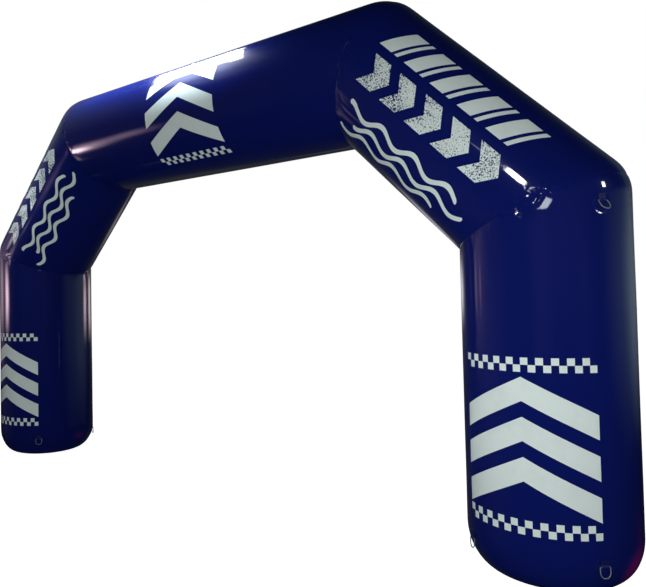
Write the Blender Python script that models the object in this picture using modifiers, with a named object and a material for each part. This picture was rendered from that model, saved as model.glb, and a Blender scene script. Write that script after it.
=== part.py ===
"""Inflatable arch: five air-tight tube panels on two rounded bases, with welded pads, tabs and steel rings.

Metres, +Z up, +X across the arch, -Y towards its front. The origin lies on the floor, midway between the legs.
"""

import math

import bmesh
import bpy
from mathutils import Vector

# ---------------------------------------------------------------- driving dimensions
TUBE_RADIUS = 0.46
LEG_SPACING = 5.08          # between the axes of the two legs
CORNER_HEIGHT = 2.00        # where the axes of leg and shoulder meet
SHOULDER_RISE = 1.04        # a shoulder rises and runs by this much, so it lies at 45 degrees
GAP = 0.0003                # clearance between pieces that touch

# The foot of a leg is drawn in along a quarter ellipse to a flat floor disc.
FOOT_INSET = 0.161          # how far the floor disc's edge lies inside the tube
FOOT_HEIGHT = 0.239         # where the rounding meets the straight tube
BASE_SEAM_TURN = math.radians(35.0)   # how far round the ellipse the floor panel's weld runs
BASE_STEPS = 4
FOOT_STEPS = 6

# Every panel dips along its welds, rounds off at the outer side of a corner and puckers along them.
TUBE_SEGMENTS = 48
WELD_ROUNDING = 0.0205      # how far the outer side of a corner lies inside a sharp mitre
WELD_VALLEY = 0.003
PUCKER = 0.0034
PUCKER_INSIDE = 1.4         # the puckers' share at the inner side of a corner
PUCKER_OUTSIDE = 0.6        # and at its outer side
# One row for each ring of points near a weld: how far from the weld it lies along the tube,
# and the shares of the rounding, of the valley and of the puckers that are left there.
WELD_RINGS = (
    # from_weld, rounding, valley, pucker
    (0.000, 1.00, 1.00, 1.00),
    (0.012, 0.78, 0.30, 0.95),
    (0.032, 0.48, 0.04, 0.62),
    (0.065, 0.14, 0.00, 0.20),
    (0.108, 0.00, 0.00, 0.00),
)
# One row for each wave in the puckers: how many go round the tube, its share and its start.
PUCKER_WAVES = (
    # around, share, phase
    (11, 0.60, 0.7),
    (7, 0.40, 2.1),
)

# Anchors: a round pad on the skin, a folded tab on the pad and a ring in the tab.
PAD_RADIUS = 0.058
PAD_THICKNESS = 0.002
PAD_CLEARANCE = 0.0006      # the pad's true curve keeps this off the tube's, whose flats lie a little inside it
PAD_SEGMENTS = 20
PAD_RINGS = 3
PAD_HUB = 0.001             # a point nearer than this to a flat disc's centre is its centre
PAD_BELOW_BAR = 0.018       # from the ring's bar down to the pad's centre
TAB_WIDTH = 0.042
TAB_THICKNESS = 0.0018
TAB_TAIL = 0.034            # how far the tab's welded tail runs up from the ring's bar
TAB_PLAY = 0.0006           # between the ring's wire and the tab round it
TAB_ARC_STEPS = 8
RING_WIRE_RADIUS = 0.003
RING_BEND_RADIUS = 0.028    # of the wire's centre line
RING_DROP = 0.027           # from the straight bar to the centre of the round end
RING_CORNER = 0.006
RING_CORNER_STEPS = 2
RING_ARC_STEPS = 10

# One row for each anchor: the leg it is on, its place round the leg from +X towards +Y,
# the height of its ring's bar, and how far the ring leans out from hanging straight down.
FOOT_BAR_HEIGHT = 0.182
TOP_BAR_HEIGHT = 2.018
FOOT_LEAN = math.radians(4.0)
TOP_LEAN = math.radians(34.0)
ANCHORS = (
    # name, side, around_deg, bar_height, lean
    ("left_foot_inner_front", -1, -43.0, FOOT_BAR_HEIGHT, FOOT_LEAN),
    ("left_foot_inner_back", -1, 43.0, FOOT_BAR_HEIGHT, FOOT_LEAN),
    ("left_foot_outer_front", -1, -137.0, FOOT_BAR_HEIGHT, FOOT_LEAN),
    ("left_foot_outer_back", -1, 137.0, FOOT_BAR_HEIGHT, FOOT_LEAN),
    ("right_foot_outer_front", 1, -43.0, FOOT_BAR_HEIGHT, FOOT_LEAN),
    ("right_foot_outer_back", 1, 43.0, FOOT_BAR_HEIGHT, FOOT_LEAN),
    ("right_foot_inner_front", 1, -137.0, FOOT_BAR_HEIGHT, FOOT_LEAN),
    ("right_foot_inner_back", 1, 137.0, FOOT_BAR_HEIGHT, FOOT_LEAN),
    ("left_top_front", -1, -144.0, TOP_BAR_HEIGHT, TOP_LEAN),
    ("left_top_back", -1, 144.0, TOP_BAR_HEIGHT, TOP_LEAN),
    ("right_top_front", 1, -36.0, TOP_BAR_HEIGHT, TOP_LEAN),
    ("right_top_back", 1, 36.0, TOP_BAR_HEIGHT, TOP_LEAN),
)

# ---------------------------------------------------------------- worked-out sizes
MITRE = math.tan(math.radians(45.0) / 2)        # each corner turns by 45 degrees
HALF_SPACING = LEG_SPACING / 2
BEAM_HALF = HALF_SPACING - SHOULDER_RISE
BEAM_HEIGHT = CORNER_HEIGHT + SHOULDER_RISE
SHOULDER_LENGTH = SHOULDER_RISE * math.sqrt(2.0)
SHARP_EDGE = math.radians(40.0)                 # a sharper turn between two faces is shaded as an edge

COLLECTION_NAME = "inflatable_arch"


# ---------------------------------------------------------------- scene, materials and objects
def clear_scene():
    for item in list(bpy.data.objects):
        bpy.data.objects.remove(item, do_unlink=True)


def make_material(name, colour, roughness, metallic=0.0):
    material = bpy.data.materials.new(name)
    material.use_nodes = True
    shader = material.node_tree.nodes["Principled BSDF"]
    shader.inputs["Base Color"].default_value = (*colour, 1.0)
    shader.inputs["Roughness"].default_value = roughness
    shader.inputs["Metallic"].default_value = metallic
    return material


def add_object(name, shape, parent=None, material=None):
    """An object of a mesh or curve, or an empty where the shape is None."""
    item = bpy.data.objects.new(name, shape)
    bpy.data.collections[COLLECTION_NAME].objects.link(item)
    item.parent = parent
    if shape and not shape.materials:
        shape.materials.append(material)
    return item


def smooth_mesh(name, shape):
    """A mesh made of a bmesh, which is freed, shaded smooth but for its edges."""
    mesh = bpy.data.meshes.new(name)
    shape.to_mesh(mesh)
    shape.free()
    mesh.shade_smooth()
    mesh.set_sharp_from_angle(angle=SHARP_EDGE)
    return mesh


def ring_stack(name, ring_count, place):
    """A closed cylinder of ring_count rings of points, each put where place(ring, angle) says."""
    shape = bmesh.new()
    bmesh.ops.create_cone(shape, cap_ends=True, segments=TUBE_SEGMENTS, radius1=1.0, radius2=1.0, depth=1.0)
    sides = [edge for edge in shape.edges if abs(edge.verts[0].co.z - edge.verts[1].co.z) > 0.5]
    bmesh.ops.subdivide_edges(shape, edges=sides, cuts=ring_count - 2, use_grid_fill=True)
    for point in shape.verts:
        ring = round((point.co.z + 0.5) * (ring_count - 1))
        point.co = place(ring, math.atan2(point.co.y, point.co.x))
    return smooth_mesh(name, shape)


# ---------------------------------------------------------------- the tube's skin
def foot_point(turn):
    """Radius and height on the foot's quarter ellipse: 0 at the floor disc, 90 degrees at the straight tube."""
    radius = TUBE_RADIUS - FOOT_INSET * (1.0 - math.sin(turn))
    height = FOOT_HEIGHT * (1.0 - math.cos(turn))
    return radius, height


def weld_radius(angle, rounding, valley, pucker):
    """Tube radius beside a mitre weld. Angle 0 is the outer side of the corner, 90 degrees the front."""
    outward = math.cos(angle)
    drawn_in = rounding * WELD_ROUNDING * max(0.0, outward) ** 2 + valley * WELD_VALLEY
    wave = sum(share * math.sin(around * angle + phase) for around, share, phase in PUCKER_WAVES)
    depth = (PUCKER_INSIDE + PUCKER_OUTSIDE) / 2 + outward * (PUCKER_OUTSIDE - PUCKER_INSIDE) / 2
    return TUBE_RADIUS - drawn_in + pucker * PUCKER * depth * wave


def weld_rings(weld_at, inwards):
    """Rings beside a mitre weld, from the weld inwards: distance along the axis, mitre, then WELD_RINGS' shares."""
    clearance = GAP / 2 / math.cos(math.atan(MITRE))
    return [
        (weld_at + inwards * (clearance + from_weld), -inwards * MITRE, rounding, valley, pucker)
        for from_weld, rounding, valley, pucker in WELD_RINGS
    ]


def mitred_point(ring, angle, front):
    """A point of a ring: +Z runs along the arch, +X is its outer side, and front is +1 where +Y is its front."""
    along, mitre, rounding, valley, pucker = ring
    radius = weld_radius(front * angle, rounding, valley, pucker)
    outer = radius * math.cos(angle)
    return Vector((outer, radius * math.sin(angle), along + mitre * outer))


def mitred_panel(name, length):
    rings = weld_rings(0.0, 1) + weld_rings(length, -1)[::-1]
    return ring_stack(name, len(rings), lambda ring, angle: mitred_point(rings[ring], angle, 1))


def leg_panel(name, front):
    """The foot's rounding above the floor panel's weld, the straight tube and the mitred top."""
    upper_turn = math.pi / 2 - BASE_SEAM_TURN
    foot = [foot_point(BASE_SEAM_TURN + upper_turn * step / (FOOT_STEPS - 1)) for step in range(FOOT_STEPS)]
    top = weld_rings(CORNER_HEIGHT, -1)[::-1]

    def place(ring, angle):
        if ring >= FOOT_STEPS:
            return mitred_point(top[ring - FOOT_STEPS], angle, front)
        radius, height = foot[ring]
        lift = GAP / 2 if ring == 0 else 0.0
        return Vector((radius * math.cos(angle), radius * math.sin(angle), height + lift))

    return ring_stack(name, FOOT_STEPS + len(top), place)


def base_panel(name):
    """The floor disc and the start of the foot's rounding, up to its weld."""
    foot = [foot_point(BASE_SEAM_TURN * step / (BASE_STEPS - 1)) for step in range(BASE_STEPS)]

    def place(ring, angle):
        radius, height = foot[ring]
        drop = GAP / 2 if ring == BASE_STEPS - 1 else 0.0
        return Vector((radius * math.cos(angle), radius * math.sin(angle), height - drop))

    return ring_stack(name, BASE_STEPS, place)


def build_tubes(skin):
    shoulder = mitred_panel("shoulder", SHOULDER_LENGTH)
    base = base_panel("base")
    # One row for each panel: its mesh, where its axis starts and how its axis leans over from upright.
    # Half a turn about +Z comes after the lean, so that local +X looks out of the arch and +Y to its front.
    panels = (
        # name, mesh, start, lean_deg, turn_deg
        ("leg_left", leg_panel("leg_left", 1), (-HALF_SPACING, 0, 0), 0.0, 180.0),
        ("shoulder_left", shoulder, (-HALF_SPACING, 0, CORNER_HEIGHT), -45.0, 180.0),
        ("beam", mitred_panel("beam", 2 * BEAM_HALF), (-BEAM_HALF, 0, BEAM_HEIGHT), -90.0, 180.0),
        ("shoulder_right", shoulder, (BEAM_HALF, 0, BEAM_HEIGHT), -135.0, 180.0),
        ("leg_right", leg_panel("leg_right", -1), (HALF_SPACING, 0, 0), 0.0, 0.0),
        ("base_left", base, (-HALF_SPACING, 0, 0), 0.0, 180.0),
        ("base_right", base, (HALF_SPACING, 0, 0), 0.0, 0.0),
    )
    for name, mesh, start, lean, turn in panels:
        panel = add_object(name, mesh, material=skin)
        panel.location = start
        panel.rotation_euler = (0.0, math.radians(lean), math.radians(turn))


# ---------------------------------------------------------------- anchors
def leg_outline(height):
    """A point of the leg's outline and the skin's outward normal there, with the leg's axis as +Z."""
    if height >= FOOT_HEIGHT:
        return Vector((TUBE_RADIUS, 0, height)), Vector((1, 0, 0))
    turn = math.acos(1.0 - height / FOOT_HEIGHT)
    radius, _ = foot_point(turn)
    normal = Vector((math.sin(turn) / FOOT_INSET, 0, -math.cos(turn) / FOOT_HEIGHT))
    return Vector((radius, 0, height)), normal.normalized()


def pad_mesh(name, centre_height):
    """A round disc bent on to the leg, with the leg's axis as +Z and the disc on its +X side."""
    shape = bmesh.new()
    bmesh.ops.create_circle(shape, cap_ends=True, cap_tris=True, segments=PAD_SEGMENTS, radius=PAD_RADIUS)
    spokes = [edge for edge in shape.edges if min(point.co.length for point in edge.verts) < PAD_HUB]
    bmesh.ops.subdivide_edges(shape, edges=spokes, cuts=PAD_RINGS - 1)
    for point in shape.verts:
        skin, normal = leg_outline(centre_height + point.co.y)
        back = skin + PAD_CLEARANCE * normal
        turn = point.co.x / TUBE_RADIUS
        point.co = (back.x * math.cos(turn), back.x * math.sin(turn), back.z)
    return smooth_mesh(name, shape)


def closed_loop(curve, points):
    spline = curve.splines.new("POLY")
    spline.points.add(len(points) - 1)
    for point, place in zip(spline.points, points):
        point.co = (*place, 1.0)
    spline.use_cyclic_u = True


def arc(radius, first, last, steps, centre=(0.0, 0.0)):
    """Points on a circle from one angle to another, both in quarter turns."""
    turns = [math.pi / 2 * (first + (last - first) * step / steps) for step in range(steps + 1)]
    return [(centre[0] + radius * math.cos(turn), centre[1] + radius * math.sin(turn)) for turn in turns]


def tab_curve():
    """The tab seen on its edge: its back flat on the pad, its loop round the ring's bar, its tail above.

    The bar's centre is the origin, +Y runs up the leg and -X is the pad's side.
    """
    inner = RING_WIRE_RADIUS + TAB_PLAY
    outer = inner + TAB_THICKNESS
    tail_front = -outer + 2 * TAB_THICKNESS
    outline = [(tail_front, TAB_TAIL), (-outer, TAB_TAIL)]
    outline += arc(outer, 2, 5, TAB_ARC_STEPS)
    outline.append((tail_front, outer + TAB_THICKNESS))
    curve = bpy.data.curves.new("tab", "CURVE")
    curve.dimensions = "2D"
    curve.fill_mode = "BOTH"
    curve.extrude = TAB_WIDTH / 2
    closed_loop(curve, [(x, y, 0.0) for x, y in outline])
    closed_loop(curve, [(x, y, 0.0) for x, y in arc(inner, 0, 4, TAB_ARC_STEPS)[:-1]])
    return curve


def ring_curve():
    """A D-ring's wire: a straight bar along Y through the origin, and a round end below it in the YZ plane."""
    corner = RING_BEND_RADIUS - RING_CORNER
    loop = arc(RING_CORNER, 0, 1, RING_CORNER_STEPS, (corner, -RING_CORNER))
    loop += arc(RING_CORNER, 1, 2, RING_CORNER_STEPS, (-corner, -RING_CORNER))
    loop += arc(RING_BEND_RADIUS, 2, 4, RING_ARC_STEPS, (0.0, -RING_DROP))
    curve = bpy.data.curves.new("ring", "CURVE")
    curve.dimensions = "3D"
    curve.bevel_depth = RING_WIRE_RADIUS
    curve.bevel_resolution = 1
    closed_loop(curve, [(0.0, y, z) for y, z in loop])
    return curve


def build_anchors(pad_skin, webbing, steel):
    tab = tab_curve()
    ring = ring_curve()
    pads = {height: pad_mesh("pad", height - PAD_BELOW_BAR) for height in (FOOT_BAR_HEIGHT, TOP_BAR_HEIGHT)}
    # From the skin to the bar's centre: pad, tab and the play in between.
    stand_off = PAD_CLEARANCE + PAD_THICKNESS + GAP + TAB_THICKNESS + TAB_PLAY + RING_WIRE_RADIUS
    for name, side, around, bar_height, lean in ANCHORS:
        anchor = add_object("anchor_" + name, None)
        anchor.location = (side * HALF_SPACING, 0, 0)
        anchor.rotation_euler = (0, 0, math.radians(around))
        pad = add_object("pad_" + name, pads[bar_height], anchor, pad_skin)
        wall = pad.modifiers.new("thickness", "SOLIDIFY")
        wall.thickness = PAD_THICKNESS
        wall.offset = 1.0
        # The tab's flat back touches the rounded skin at the middle of its tail.
        skin, normal = leg_outline(bar_height + TAB_TAIL / 2)
        down = Vector((normal.z, 0, -normal.x))
        bar = skin + stand_off * normal + TAB_TAIL / 2 * down
        tab_lean = math.asin(-normal.z)
        holder = add_object("tab_" + name, tab, anchor, webbing)
        holder.location = bar
        holder.rotation_euler = (math.radians(90.0), tab_lean, 0)
        loop = add_object("ring_" + name, ring, anchor, steel)
        loop.location = bar
        loop.rotation_euler = (0, -lean, 0)


def main():
    clear_scene()
    collection = bpy.data.collections.new(COLLECTION_NAME)
    bpy.context.scene.collection.children.link(collection)
    skin = make_material("skin", (0.006, 0.010, 0.105), 0.22)
    pad_skin = make_material("pad_skin", (0.006, 0.010, 0.090), 0.30)
    webbing = make_material("webbing", (0.008, 0.010, 0.045), 0.60)
    steel = make_material("steel", (0.62, 0.63, 0.66), 0.25, 1.0)
    build_tubes(skin)
    build_anchors(pad_skin, webbing, steel)


main()
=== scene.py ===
# %% [markdown]
# # An inflatable arch, dressed in its cloth
#
# The arch is a chain of five air-tight tubes, welded from PVC-coated cloth. Its plain solids come packed as
# a fixed frame. This lesson gives each of them its real skin: glossy coated cloth with puckers at the
# welds, printed shapes, welded pads, webbing tabs and steel rings. Everything is in metres, with +Z up and
# -Y towards the front.

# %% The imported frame
from math import asin, cos, pi, radians, sin, tan

import bpy
import numpy as np
from mathutils import Matrix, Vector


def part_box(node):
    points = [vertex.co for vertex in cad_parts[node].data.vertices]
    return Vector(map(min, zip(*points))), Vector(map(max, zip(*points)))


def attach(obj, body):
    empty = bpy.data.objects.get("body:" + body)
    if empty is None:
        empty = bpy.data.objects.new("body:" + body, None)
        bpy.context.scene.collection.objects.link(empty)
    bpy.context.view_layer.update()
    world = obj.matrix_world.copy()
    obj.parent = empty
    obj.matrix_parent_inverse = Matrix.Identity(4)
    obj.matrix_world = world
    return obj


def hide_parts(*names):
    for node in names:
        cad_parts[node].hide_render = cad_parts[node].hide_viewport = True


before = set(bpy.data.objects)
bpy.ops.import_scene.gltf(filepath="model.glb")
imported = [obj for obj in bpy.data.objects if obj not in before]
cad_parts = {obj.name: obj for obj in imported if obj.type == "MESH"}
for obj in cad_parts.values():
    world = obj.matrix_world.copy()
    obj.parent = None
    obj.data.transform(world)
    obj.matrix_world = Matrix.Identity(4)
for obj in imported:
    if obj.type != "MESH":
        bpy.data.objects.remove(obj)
scene = bpy.context.scene
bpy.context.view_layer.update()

# %% [markdown]
# ## The sizes of the arch
#
# A maker draws the arch as one line from foot to foot, bent by 45 degrees at four welds. Each stretch of it
# is the axis of one tube. The sizes below are those that the solids were made from, and two solids' boxes
# are printed to compare.

# %% Sizes of the tubes
TUBE_RADIUS = 0.46
HALF_SPACING = 2.54  # from the middle of the arch to a leg's axis
CORNER_HEIGHT = 2.00
SHOULDER_RISE = 1.04
FOOT_INSET = 0.161
FOOT_HEIGHT = 0.239
FOOT_WELD_TURN = radians(35.0)
FOOT_WELD_HEIGHT = FOOT_HEIGHT * (1.0 - cos(FOOT_WELD_TURN))
WELD_GAP = 0.0003  # between two panels at their weld
HALF_BEND = radians(22.5)
MITRE = tan(HALF_BEND)

beam_half = HALF_SPACING - SHOULDER_RISE
beam_height = CORNER_HEIGHT + SHOULDER_RISE
right_half = [(beam_half, 0, beam_height), (HALF_SPACING, 0, CORNER_HEIGHT), (HALF_SPACING, 0, 0)]
AXIS_POINTS = np.array([(-x, y, z) for x, y, z in right_half[::-1]] + right_half)
PANEL_NAMES = ("leg_left", "shoulder_left", "beam", "shoulder_right", "leg_right")
for name in ("leg_left", "beam"):
    low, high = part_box(name)
    print(name, "solid box", [round(v, 4) for v in (*low, *high)])

# %% [markdown]
# ## Putting numpy surfaces into meshes
#
# Every new piece is a grid of points worked out as whole arrays. The rows of the grid run along the piece
# and its columns run round it, anticlockwise seen against the rows' direction, so that the faces point
# outwards. The two ends are closed with a fan of triangles, and a UV map is filled in metres where a print
# or a weave needs one.

# %% From a grid to a closed mesh
SMOOTH_BELOW = radians(38.0)
BARE_UV = 9.0  # a place on the cloth, in metres, that no print reaches


def closed_piece(name, node, points, across=None, ends=True):
    """A mesh object from points[row, column], whose columns close round, in place of a solid's node.

    Faces join point (r, c) to (r, c+1), (r+1, c+1) and (r+1, c). With ends, the first and the last row are
    closed by a fan round their mean point. Without them the rows close round on themselves too, as on a ring.
    across[row, column] holds UV places in metres and has one column more, since two edges meet there.
    """
    rows, columns = points.shape[:2]
    row_count = rows - 1 if ends else rows
    r, c = np.meshgrid(np.arange(row_count), np.arange(columns), indexing="ij")
    r2, c2 = (r + 1) % rows, (c + 1) % columns
    row, row2 = r * columns, r2 * columns
    quads = np.stack([row + c, row + c2, row2 + c2, row2 + c], -1).reshape(-1, 4)
    corners = points.reshape(-1, 3)
    loops = quads.ravel()
    sizes = np.full(len(quads), 4)
    if ends:
        middle = len(corners)
        corners = np.vstack([corners, points[0].mean(0), points[-1].mean(0)])
        ring = np.arange(columns)
        after = (ring + 1) % columns
        last = (rows - 1) * columns
        fans = np.vstack([
            np.stack([np.full(columns, middle), after, ring], -1),
            np.stack([np.full(columns, middle + 1), last + ring, last + after], -1),
        ])
        loops = np.concatenate([loops, fans.ravel()])
        sizes = np.concatenate([sizes, np.full(len(fans), 3)])
    mesh = bpy.data.meshes.new(name)
    mesh.vertices.add(len(corners))
    mesh.vertices.foreach_set("co", corners.astype(np.float32).ravel())
    mesh.loops.add(len(loops))
    mesh.loops.foreach_set("vertex_index", loops.astype(np.int32))
    mesh.polygons.add(len(sizes))
    mesh.polygons.foreach_set("loop_start", (np.cumsum(sizes) - sizes).astype(np.int32))
    mesh.update(calc_edges=True)
    if across is not None:
        layer = mesh.uv_layers.new(name="cloth")
        places = [across[r, c], across[r, c + 1], across[r + 1, c + 1], across[r + 1, c]]
        uv = np.full((len(loops), 2), BARE_UV, np.float32)
        uv[:quads.size] = np.stack(places, 2).reshape(-1, 2)
        layer.data.foreach_set("uv", uv.ravel())
    mesh.shade_smooth()
    mesh.set_sharp_from_angle(angle=SMOOTH_BELOW)
    piece = bpy.data.objects.new(name, mesh)
    scene.collection.objects.link(piece)
    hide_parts(node)
    return piece


print("edges are smooth below", round(np.degrees(SMOOTH_BELOW)), "degrees")

# %% [markdown]
# ## How the coated cloth lies
#
# Air presses the cloth into a true cylinder wherever it can. At a mitred weld it turns a corner that no
# flat panel can follow: the outer side is pulled round, the weld sinks a little, and the cloth on the inner
# side has too much length and puckers into short creases that run along the tube. Slack gathers there in a
# few dents, and one patch is pulled flat. Everywhere the panel keeps a faint unevenness from its cutting
# and rolling. All of it is written as changes of the tube's radius, as functions of the place round the
# tube and of the distance from the weld.

# %% Rounding beside a mitred weld
CORNER_BEND = 0.25  # radius of the rounded outer corner
BEND_REACH = CORNER_BEND * MITRE
WELD_SINK = 0.003
TAPE_HALF = 0.012  # half the width of the welded overlap
TAPE_RISE = 0.0009


def round_way(turn, start):
    """Metres round the tube from one angle to another, the shorter way."""
    return ((turn - start + pi) % (2 * pi) - pi) * TUBE_RADIUS


def softened(distance, width):
    """1 inside the width and 0 outside, with an S-shaped edge 2 mm long."""
    return 1.0 / (1.0 + np.exp(np.clip((distance - width) / 0.0006, -40, 40)))


def corner_rounding(turn, distance):
    """How far the outer side is pulled in: the gap between a sharp mitre and a circle touching both tubes."""
    left = np.clip(1.0 - distance / BEND_REACH, 0.0, None)
    outer_side = np.clip(np.cos(turn), 0.0, None)
    return CORNER_BEND * (1.0 / cos(HALF_BEND) - 1.0) * left ** 2 * outer_side ** 2


print("outer corner pulled in by, mm:", round(1000 * corner_rounding(0.0, 0.0), 1))

# %% Crumple and dents
CRUMPLE_SLOPE = 0.015
DENTS = (
    # weld, turn and heading in degrees, beyond the weld, depth, half_width, half_length
    (3, 77, 38, 0.002, 0.0080, 0.016, 0.040), (3, 87.5, -39, 0.021, 0.0105, 0.021, 0.045),
    (3, -84, 30, 0.020, 0.0090, 0.028, 0.050), (0, -78, -35, -0.015, 0.0100, 0.026, 0.050),
    (1, -88, 20, 0.012, 0.0070, 0.024, 0.040), (2, -80, -25, -0.010, 0.0080, 0.025, 0.050),
)


def beside_front(turn, middle, spread):
    """1 at the middle angle from the outer side, in front and behind alike, with a bell's fall-off."""
    away = np.abs((turn + pi) % (2 * pi) - pi) - radians(middle)
    return np.exp(-(away / radians(spread)) ** 2)


def crumple(weld, side, turn, distance):
    """Shallow folds across the front and the back of a weld, where the slack cloth has nowhere to go.

    They are six plane waves, 32 to 75 mm long, in directions of their own, that run on across the weld.
    """
    chance = np.random.default_rng(900 + weld)
    relief = np.zeros_like(turn)
    for _ in range(6):
        length = chance.uniform(0.032, 0.075)
        heading = chance.uniform(-1.2, 1.2)
        phase = chance.uniform(0, 2 * pi)
        path = turn * TUBE_RADIUS * cos(heading) + side * distance * sin(heading)
        relief += length * np.sin(2 * pi * path / length + phase)
    return CRUMPLE_SLOPE * relief * beside_front(turn, 83.0, 24.0) * np.exp(-(distance / 0.055) ** 2)


def from_spot(side, turn, distance, middle, step):
    """Metres round the tube and along it, from a spot beside a weld."""
    beyond = distance if side == 1 else -distance
    return round_way(turn, radians(middle)), beyond - step


def dents(weld, side, turn, distance):
    """A few deeper dents where slack has gathered at a weld: each is an oval bell, the same from both panels.

    It is -depth * exp(-(across / half_width)^2 / 2 - (ahead / half_length)^2 / 2), turned to its heading.
    """
    relief = np.zeros_like(turn)
    for place, middle, heading, step, depth, half_width, half_length in DENTS:
        if place == weld:
            aside, beyond = from_spot(side, turn, distance, middle, step)
            c, s = cos(radians(heading)), sin(radians(heading))
            ahead, across = c * aside + s * beyond, c * beyond - s * aside
            relief -= depth * np.exp(-(across / half_width) ** 2 / 2 - (ahead / half_length) ** 2 / 2)
    return relief


print("dents at each weld:", [sum(dent[0] == weld for dent in DENTS) for weld in range(4)])

# %% A patch pulled flat
FLATS = (
    # weld, turn in degrees, beyond the weld, level, slope round, slope along, half_width, half_length
    (3, 71.0, 0.052, -0.004, -0.050, 0.130, 0.060, 0.072),
)


def pulled_flat(weld, side, turn, distance, relief):
    """Where pulled cloth lies as a plane: all relief and the tube's own roundness give way to a slant.

    The plane is level + round * slope_round + along * slope_along + round^2 / 2R, and its share is
    exp(-(|round| / half_width + |along| / half_length)^6), a lozenge with soft edges.
    """
    for place, middle, step, level, slope_round, slope_along, half_width, half_length in FLATS:
        if place == weld:
            aside, ahead = from_spot(side, turn, distance, middle, step)
            plane = level + slope_round * aside + slope_along * ahead + aside ** 2 / (2 * TUBE_RADIUS)
            reach = np.minimum(np.abs(aside) / half_width + np.abs(ahead) / half_length, 2.0)
            relief = relief + (plane - relief) * np.exp(-reach ** 6)
    return relief


print("patches pulled flat:", len(FLATS))

# %% Creases
CREASES = 26  # round each weld
CREASE_DEPTH = 0.0042
CREASE_BOTTOM = 0.0015  # how far the bottom of a crease is rounded


def creases(seed, side, turn, distance):
    """Short creases that start at the weld: sharp valleys that widen, wander and die out along the tube.

    The place of a crease is the same on both sides of its weld, and its length is not. Its depth falls off as
    exp(-(distance / length)^1.5), and its cross-section is exp(-|offset| / width) with a rounded bottom.
    """
    chance = np.random.default_rng(seed)
    place = np.arange(CREASES) + chance.uniform(-0.32, 0.32, CREASES)
    place = place * 2 * pi / CREASES
    depth = chance.uniform(0.25, 1.0, CREASES) ** 1.4
    width = chance.uniform(0.009, 0.020, CREASES)
    own = np.random.default_rng(seed * 7 + side)
    length = own.uniform(0.035, 0.125, CREASES)
    wander = own.uniform(-0.22, 0.22, CREASES)
    inward = 0.30 + 0.70 * beside_front(place, 95.0, 38.0)
    relief = np.zeros_like(turn)
    for k in range(CREASES):
        offset = round_way(turn, place[k]) - wander[k] * distance
        spread = width[k] + 0.16 * distance
        valley = np.exp(-(np.sqrt(offset ** 2 + CREASE_BOTTOM ** 2) - CREASE_BOTTOM) / spread)
        relief -= CREASE_DEPTH * inward[k] * depth[k] * valley * np.exp(-(distance / length[k]) ** 1.5)
    return relief


print("creases round a weld:", CREASES)

# %% Everything at a weld, and between the welds
UNEVENNESS = 0.00028


def pucker_wave(turn, distance):
    """The slow waves that the solids have at their welds too: eleven and seven rounds of a sine."""
    wave = 0.60 * np.sin(11 * turn + 0.7) + 0.40 * np.sin(7 * turn + 2.1)
    return 0.0030 * (1.0 - 0.4 * np.cos(turn)) * wave * np.exp(-(distance / 0.05) ** 2)


def weld_relief(weld, side, turn, distance):
    """Everything that a weld does to the radius at an angle round the tube and a distance along it."""
    relief = -corner_rounding(turn, distance) - WELD_SINK * np.exp(-(distance / 0.011) ** 2)
    relief += TAPE_RISE * softened(distance, TAPE_HALF)
    relief += pucker_wave(turn, distance) + creases(40 + weld, side, turn, distance)
    relief += crumple(weld, side, turn, distance) + dents(weld, side, turn, distance)
    return pulled_flat(weld, side, turn, distance, relief)


def rolling_unevenness(panel, turn, along):
    """A faint unevenness, well under 1 mm: five slow waves round and along, different on each panel."""
    chance = np.random.default_rng(300 + panel)
    relief = np.zeros_like(turn)
    for wave, rounds in enumerate((2, 3, 4, 5, 7)):
        phase, drift, beat = chance.uniform(0, 6.28, 3)
        around = np.sin(rounds * turn + phase + 1.2 * np.sin(along * 3.0 + drift))
        relief += around * np.cos(along * (2.0 + 1.6 * wave) + beat)
    return UNEVENNESS * relief


test_turn = np.linspace(0, 2 * pi, 7)
print("relief at a weld, mm:", np.round(1000 * weld_relief(3, 1, test_turn, np.zeros(7)), 1))

# %% [markdown]
# ## The anchors' places
#
# Guy lines and ground stakes pull on twelve steel rings: four round each foot and two near the top of each
# leg. The cloth lies true under their pads, because the pad stiffens it, so the relief fades out there.

# %% Where the anchors sit
PAD_RADIUS = 0.058
PAD_BELOW_BAR = 0.018
TRUE_REACH = 0.085  # how far from a pad's middle the cloth lies true
FOOT_BAR = (0.182, radians(4.0))  # height of a ring's bar, and how far the ring leans
TOP_BAR = (2.018, radians(34.0))
ANCHORS = [
    # name, side, around from +X towards the back, bar_height, lean
    (f"{leg}_{place}_{face}", side, radians(towards * away), *bar)
    for leg, side, place, away, bar in (
        ("left", -1, "foot_inner", 43.0, FOOT_BAR),
        ("left", -1, "foot_outer", 137.0, FOOT_BAR),
        ("right", 1, "foot_outer", 43.0, FOOT_BAR),
        ("right", 1, "foot_inner", 137.0, FOOT_BAR),
        ("left", -1, "top", 144.0, TOP_BAR),
        ("right", 1, "top", 36.0, TOP_BAR),
    )
    for face, towards in (("front", -1), ("back", 1))
]


def clear_of_anchors(panel, turn, height):
    """0 under the pads, rising smoothly to 1 a hand's breadth away from them."""
    side = {"leg_left": -1, "leg_right": 1}.get(panel)
    keep = np.ones_like(turn)
    for _, anchor_side, around, bar_height, _ in ANCHORS:
        if anchor_side == side:
            # A panel's turn starts at its leg's outer side and goes to the front.
            aside = round_way(turn, around + pi if side < 0 else -around)
            away = np.hypot(aside, height - bar_height + PAD_BELOW_BAR)
            keep *= 1.0 - np.exp(-(away / TRUE_REACH) ** 6)
    return keep


print("anchors:", [name for name, *_ in ANCHORS])

# %% [markdown]
# ## The five tube panels
#
# A panel is a strip of coated cloth, rolled up and welded lengthwise, whose ends are cut to the mitre. Its
# surface is a function of two parameters: the turn round the tube and the share of the way from one end to
# the other. Its rows of points crowd towards the welds, where the creases are.

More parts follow.
